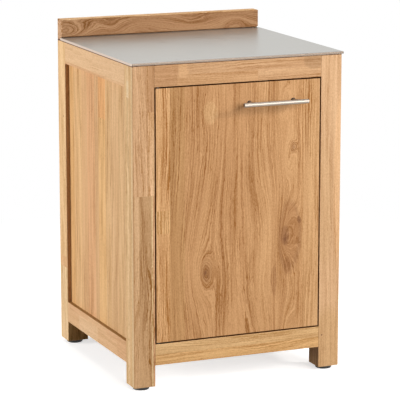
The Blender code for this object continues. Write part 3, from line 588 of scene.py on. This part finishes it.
# Painted reflection on the front fold and painted light on the side folds.
fold = add(tree, "MapRange", {0: place[1], 1: FRONT_FOLD_START, 2: FRONT_FOLD_END})
painted_folds = add(tree, "Mix", {0: fold, 6: shader.inputs["Base Color"].links[0].from_socket,
                           7: srgb(FRONT_FOLD_PAINTED_REFLECTION)}, 2, data_type="RGBA",
             blend_type="MULTIPLY")
aside = add(tree, "Math", {0: place[0]}, operation="ABSOLUTE")
aside = add(tree, "MapRange", {0: aside, 1: SIDE_FOLD_START, 2: SIDE_FOLD_END})
painted_folds = add(tree, "Mix", {0: aside, 6: painted_folds, 7: srgb(SIDE_FOLD_PAINTED_LIGHT)}, 2, data_type="RGBA")
tree.links.new(painted_folds, shader.inputs["Base Color"])
dress("worktop_sheet", sheet_steel)

# Upstand: a 36 x 57 mm teak board on edge, dowelled to the back rail, browner than the frame.
# It is flat sawn, with an arched figure near its left end.
dress("upstand", teak(
    "teak_upstand_board", 97.0, "X", "Z", ("b18862",), stave=400.0, joint=5000.0,
    # Painted light: the top face and the left end are painted lighter, where light falls on them.
    boards=(("dfba8c", (929.3, 931), None, None),
            ("e6bf9c", None, (-300, -298.5), None)),
    eyes=((893, -290, 26, 75, 0, 60, 0),
          (905, -150, 22, 30, 0, 16, 0),
          (900, -60, 24, 55, 0, -18, 0),
          (908, 90, 22, 50, 0, 16, 0),
          (900, 230, 24, 45, 0, -22, 0)),
    ring=6.0, late_wood=1.5, figure=0.3, contrast=1.05, slant=0.0))
for side in ("left", "right"):
    dress("upstand_dowel_" + side, teak("teak_dowel_" + side, 99.0, "Z", "X", POST_TONES))

# Door: four boards of flat-sawn teak, 40, 217, 164 and 49 mm wide, edge-glued and flat.
# The two wide boards carry knots and arches; two screwed battens across the back keep it flat.
LEFT_BOARD = (-238, -197)
dress("door_panel", teak(
    "teak_door_boards", 110.0, "Z", "X", (BROWN, BROWN), stave=900.0, joint=9000.0, boards=(
        ("ebbb87", LEFT_BOARD, None, None),
        ("f4c893", LEFT_BOARD, (424, 485), None),
        ("cea06d", (-197, -155), None, None),
        ("d4a473", (-155, 20), None, None),
        ("d6a776", (20, 189), None, None),
        ("dcaf7e", (189, 238), None, None),
        # Painted shade: the door's edges inside its gap are painted dark.
        (GAP_SHADE, (-238, -236.3), None, None),
        (BROWN, (236.3, 238), None, None),
        (GAP_SHADE, None, (128, 129.2), None),
        (GAP_SHADE, None, (810.3, 811), None)),
    eyes=((-120, 340, 85, 200, 0, 38, 0),   # arches round the left knot
          (100, 400, 75, 200, 0, -36, 0),   # arches left of the right knot
          (60, 90, 80, 150, 0, -34, 0),
          (-30, 90, 60, 150, 0, 14, 0),
          (-88, 303, 40, 85, 0.7, 6, 0),    # the left knot
          (-94, 303, 17, 36, 0, 19, 1.0),
          (-82, 735, 24, 40, 0.5, 8, 0),    # a pale spot near the top
          (144, 402, 30, 92, 0, 58, 0),     # the right knot
          (138, 378, 15, 30, 0, 24, 1.5),
          (161, 629, 22, 50, 0.4, 0, 0),    # a small knot above it
          (161, 629, 10, 17, 0, 19, 0.7),
          (131, 755, 15, 62, 0, 27, 0),     # arches up and down the right board
          (141, 590, 15, 58, 0, 27, 0),
          (179, 430, 4, 6, 0, 0, 1.8),
          (142, 110, 23, 88, 0, 44, 0)),
    shades=(("8f5e38", 151, 386, 34, 96, 0.42),
            ("cc9a69", 149, 392, 28, 84, 0.55),
            ("91623f", 137, 388, 13, 26, 0.45),
            ("a06c3e", 143, 304, 10, 22, 0.5),
            ("8a5a38", 178, 431, 6, 10, 0.5),
            ("a06d42", 105, 268, 9, 42, 0.35),
            ("96683f", -92, 312, 16, 34, 0.2),
            ("96683f", 160, 629, 10, 16, 0.15),
            ("eac08d", -82, 735, 20, 30, 0.5)),
    lively=((LEFT_BOARD, 1.45),), ring=10.0, figure=0.45, contrast=1.0, slant=0.0))
BATTEN_SCREW_SHARES = (0.08, 0.36, 0.64, 0.92)
BATTEN_SCREW_STAGGER = 0.012
for level in ("upper", "lower"):
    batten = "door_batten_" + level
    dress(batten, teak("teak_batten_" + level, 120.0, "X", "Z", POST_TONES, stave=90.0,
                       joint=900.0, figure=0.6))
    low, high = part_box(batten)
    for i, share in enumerate(BATTEN_SCREW_SHARES):
        stagger = BATTEN_SCREW_STAGGER if i % 2 else -BATTEN_SCREW_STAGGER
        screw(f"batten_screw_{level}_{i + 1}",
              (low.x + (high.x - low.x) * share, high.y, (low.z + high.z) / 2 + stagger),
              (0, 1, 0), WOOD_SCREW, "door")

# Handle: a 12 mm stainless bar on two 10 mm legs, screwed on from inside the door.
# Ground along its length, which leaves a soft warm shine with fine lines.
handle_steel = brushed_steel("ground_stainless_handle", "X", ("8d847b", "988f84"), 0.36, 0.05)
for piece in ("handle_bar", "handle_leg_left", "handle_leg_right"):
    dress(piece, handle_steel)
for side in ("left", "right"):
    dress("handle_screw_" + side, zinc)

# Handle washers: black rubber, 1.2 mm thick, under each leg; they stand in for the shade at each
# leg's root, as painted shade.
# Rubber is matt black; its 0.1 mm grain is drawn 1.2 mm wide.
shade_washer_rubber = fine_finish("black_painted_shade_washer", (1.2, 1.2, 1.2), "191715", "2a2622", (0.6, 0.8))
WASHER_INSIDE, WASHER_TOP, WASHER_OUTSIDE = 0.0052, 0.0062, 0.0066
WASHER_HEIGHT, WASHER_EDGE, WASHER_FOOT = 0.0012, 0.0008, 0.00005
washer = (circle(WASHER_INSIDE, WASHER_HEIGHT), circle(WASHER_TOP, WASHER_HEIGHT),
          circle(WASHER_OUTSIDE, WASHER_EDGE), circle(WASHER_OUTSIDE, WASHER_FOOT),
          circle(WASHER_INSIDE, WASHER_FOOT), circle(WASHER_INSIDE, WASHER_HEIGHT))
for side in ("left", "right"):
    low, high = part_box("handle_leg_" + side)
    small_piece("handle_shade_washer_" + side, washer,
                ((low.x + high.x) / 2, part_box("door_panel")[0].y, (low.z + high.z) / 2),
                (0, -1, 0), shade_washer_rubber, "door")

# Hinges: black pivot leaves let into the rail and the door edge, with a nylon washer between.
# Passivated steel is a dull black with a brown cast; nylon is a little waxier.
black_steel = fine_finish("black_passivated_steel", (4.0, 4.0, 4.0), "1f1c1a", "37322d",
                          (0.38, 0.55), Metallic=1.0)
nylon = fine_finish("turned_black_nylon", (6.0, 6.0, 0.6), "1d1c1b", "2b2928", (0.3, 0.42), 0.05,
                    IOR=1.53)
LEAF_SCREW = 0.0028
LEAF_SCREW_SHARES = (0.48, 0.84)
for level, up in (("upper", 1), ("lower", -1)):
    dress(f"hinge_{level}_washer", nylon)
    for part, body, way in (("frame_leaf", "frame", -up), ("door_leaf", "door", up)):
        leaf = f"hinge_{level}_{part}"
        dress(leaf, black_steel)
        low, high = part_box(leaf)
        if part == "frame_leaf":
            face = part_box("rail_front_top")[0].z if up > 0 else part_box("rail_front_bottom")[1].z
        else:
            face = high.z if up > 0 else low.z
        for i, share in enumerate(LEAF_SCREW_SHARES):
            screw(f"hinge_screw_{level}_{part}_{i + 1}",
                  (low.x + (high.x - low.x) * share, (low.y + high.y) / 2, face), (0, 0, way),
                  LEAF_SCREW, body, black_steel)

# Catch: a moulded black housing with its magnet, and a zinc plated strike on the door.
# Moulded ABS has a fine even grain and a dull shine; its 0.3 mm grain is drawn 1.5 mm wide.
plastic = fine_finish("moulded_black_abs", (1.5, 1.5, 1.5), "161514", "24221f", (0.38, 0.48), 0.2)
dress("catch_body", plastic)
dress("catch_strike", zinc)
CATCH_SCREW, CATCH_SCREW_SHARES = 0.0025, (0.14, 0.86)
STRIKE_SCREW, STRIKE_SCREW_SHARES = 0.0022, (0.15, 0.85)
low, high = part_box("catch_body")
for i, share in enumerate(CATCH_SCREW_SHARES):
    screw(f"catch_screw_{i + 1}", (low.x + (high.x - low.x) * share, (low.y + high.y) / 2, low.z),
          (0, 0, -1), CATCH_SCREW, "frame")
low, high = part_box("catch_strike")
for i, share in enumerate(STRIKE_SCREW_SHARES):
    screw(f"strike_screw_{i + 1}",
          (low.x + (high.x - low.x) * share, high.y, (low.z + high.z) / 2), (0, 1, 0),
          STRIKE_SCREW, "door")

# Glides: moulded black pads on a threaded stem, each in a turned brass insert in the post.
# Brass is left bright from the lathe, with fine rings round it.
brass = fine_finish("turned_brass", (8.0, 8.0, 0.6), "b8923f", "d3b062", (0.25, 0.38), 0.05,
                    Metallic=1.0)
for corner in CORNERS:
    dress("glide_" + corner, plastic)
    dress("glide_insert_" + corner, brass)

# Studio: a pale floor that keeps the shadow, a white surround and large soft lights.
# One light stands level with the left side, so that recesses there stay in shadow.
FLOOR_SIZE = 80.0
FADE_START, FADE_END = 0.6, 1.9
bpy.context.scene.view_settings.view_transform = "Standard"
bpy.ops.mesh.primitive_plane_add(size=FLOOR_SIZE, location=(0.0, 0.0, 0.0))
floor = bpy.context.active_object
floor.name = "studio_floor"


def seen_directly(tree):
    """1 for what the camera, a gloss or a clear piece looks at, 0 for light on the object."""
    paths = add(tree, "LightPath", {}).node.outputs
    seen = add(tree, "Math", {0: paths["Is Camera Ray"], 1: paths["Is Glossy Ray"]},
               operation="MAXIMUM")
    return add(tree, "Math", {0: seen, 1: paths["Is Transmission Ray"]}, operation="MAXIMUM")


# Seen directly the floor is pale with its shadow and fades to white; its light is a dull grey.
floor_material = bpy.data.materials.new("pale_studio_floor")
floor_material.use_nodes = True
tree = floor_material.node_tree
tree.nodes.clear()
matt = add(tree, "BsdfDiffuse", {"Color": srgb("8c8780")})
pale = add(tree, "BsdfDiffuse", {"Color": srgb("f4f3f1")})
away = add(tree, "VectorMath", {0: add(tree, "TexCoord", {}, 3)}, 1, operation="LENGTH")
fade = add(tree, "MapRange", {0: away, 1: FADE_START, 2: FADE_END})
glow = add(tree, "Emission", {"Color": srgb("ffffff"), "Strength": 0.66})
white = add(tree, "Emission", {"Color": srgb("ffffff"), "Strength": 1.0})
bright = add(tree, "AddShader", {0: pale, 1: glow})
bright = add(tree, "MixShader", {0: fade, 1: bright, 2: white})
both = add(tree, "MixShader", {0: seen_directly(tree), 1: matt, 2: bright})
add(tree, "OutputMaterial", {0: both})
floor.data.materials.append(floor_material)

world = bpy.data.worlds.new("white_surround")
bpy.context.scene.world = world
world.use_nodes = True
tree = world.node_tree
tree.nodes.clear()
dim = add(tree, "Background", {"Color": srgb("ffffff"), "Strength": 0.10})
white = add(tree, "Background", {"Color": srgb("ffffff"), "Strength": 1.0})
both = add(tree, "MixShader", {0: seen_directly(tree), 1: dim, 2: white})
add(tree, "OutputWorld", {0: both})

MIDDLE = Vector((0.0, 0.0, 0.45))


def soft_box(name, place, size, power):
    """A square soft light aimed at the middle of the unit."""
    light = bpy.data.lights.new(name, "AREA")
    light.size = size
    light.energy = power
    lamp = bpy.data.objects.new(name, light)
    bpy.context.scene.collection.objects.link(lamp)
    lamp.location = place
    lamp.rotation_euler = (MIDDLE - Vector(place)).to_track_quat("-Z", "Y").to_euler()


soft_box("left_soft_box", (-4.0, 0.9, 0.9), 1.4, 128.0)
soft_box("right_soft_box", (3.52, -2.0, 2.22), 0.6, 78.0)
soft_box("front_soft_box", (1.6, -4.0, 1.9), 2.8, 172.0)
soft_box("top_soft_box", (0.2, 0.3, 3.8), 1.8, 75.0)

# Camera: it stands to the left of the front and looks down a little, as in the photograph.
# Its place comes from its turn, tilt and distance to a point inside the unit.
TURN = math.radians(-22.889)
TILT = math.radians(11.721)
DISTANCE = 6.264
SIDE_STEP = 0.0026
RISE = -0.0043
SENSOR_MM, LENS_MM = 36.0, 203.55
FAR_END = 200.0
back = Vector((math.sin(TURN) * math.cos(TILT), -math.cos(TURN) * math.cos(TILT), math.sin(TILT)))
right = Vector((math.cos(TURN), math.sin(TURN), 0.0))
up = back.cross(right)
lens = bpy.data.cameras.new("photo_camera")
lens.sensor_width = SENSOR_MM
lens.lens = LENS_MM
lens.clip_end = FAR_END
camera = bpy.data.objects.new("photo_camera", lens)
bpy.context.scene.collection.objects.link(camera)
camera.location = MIDDLE + back * DISTANCE + right * SIDE_STEP + up * RISE
camera.rotation_euler = (math.pi / 2 - TILT, 0.0, TURN)
bpy.context.scene.camera = camera
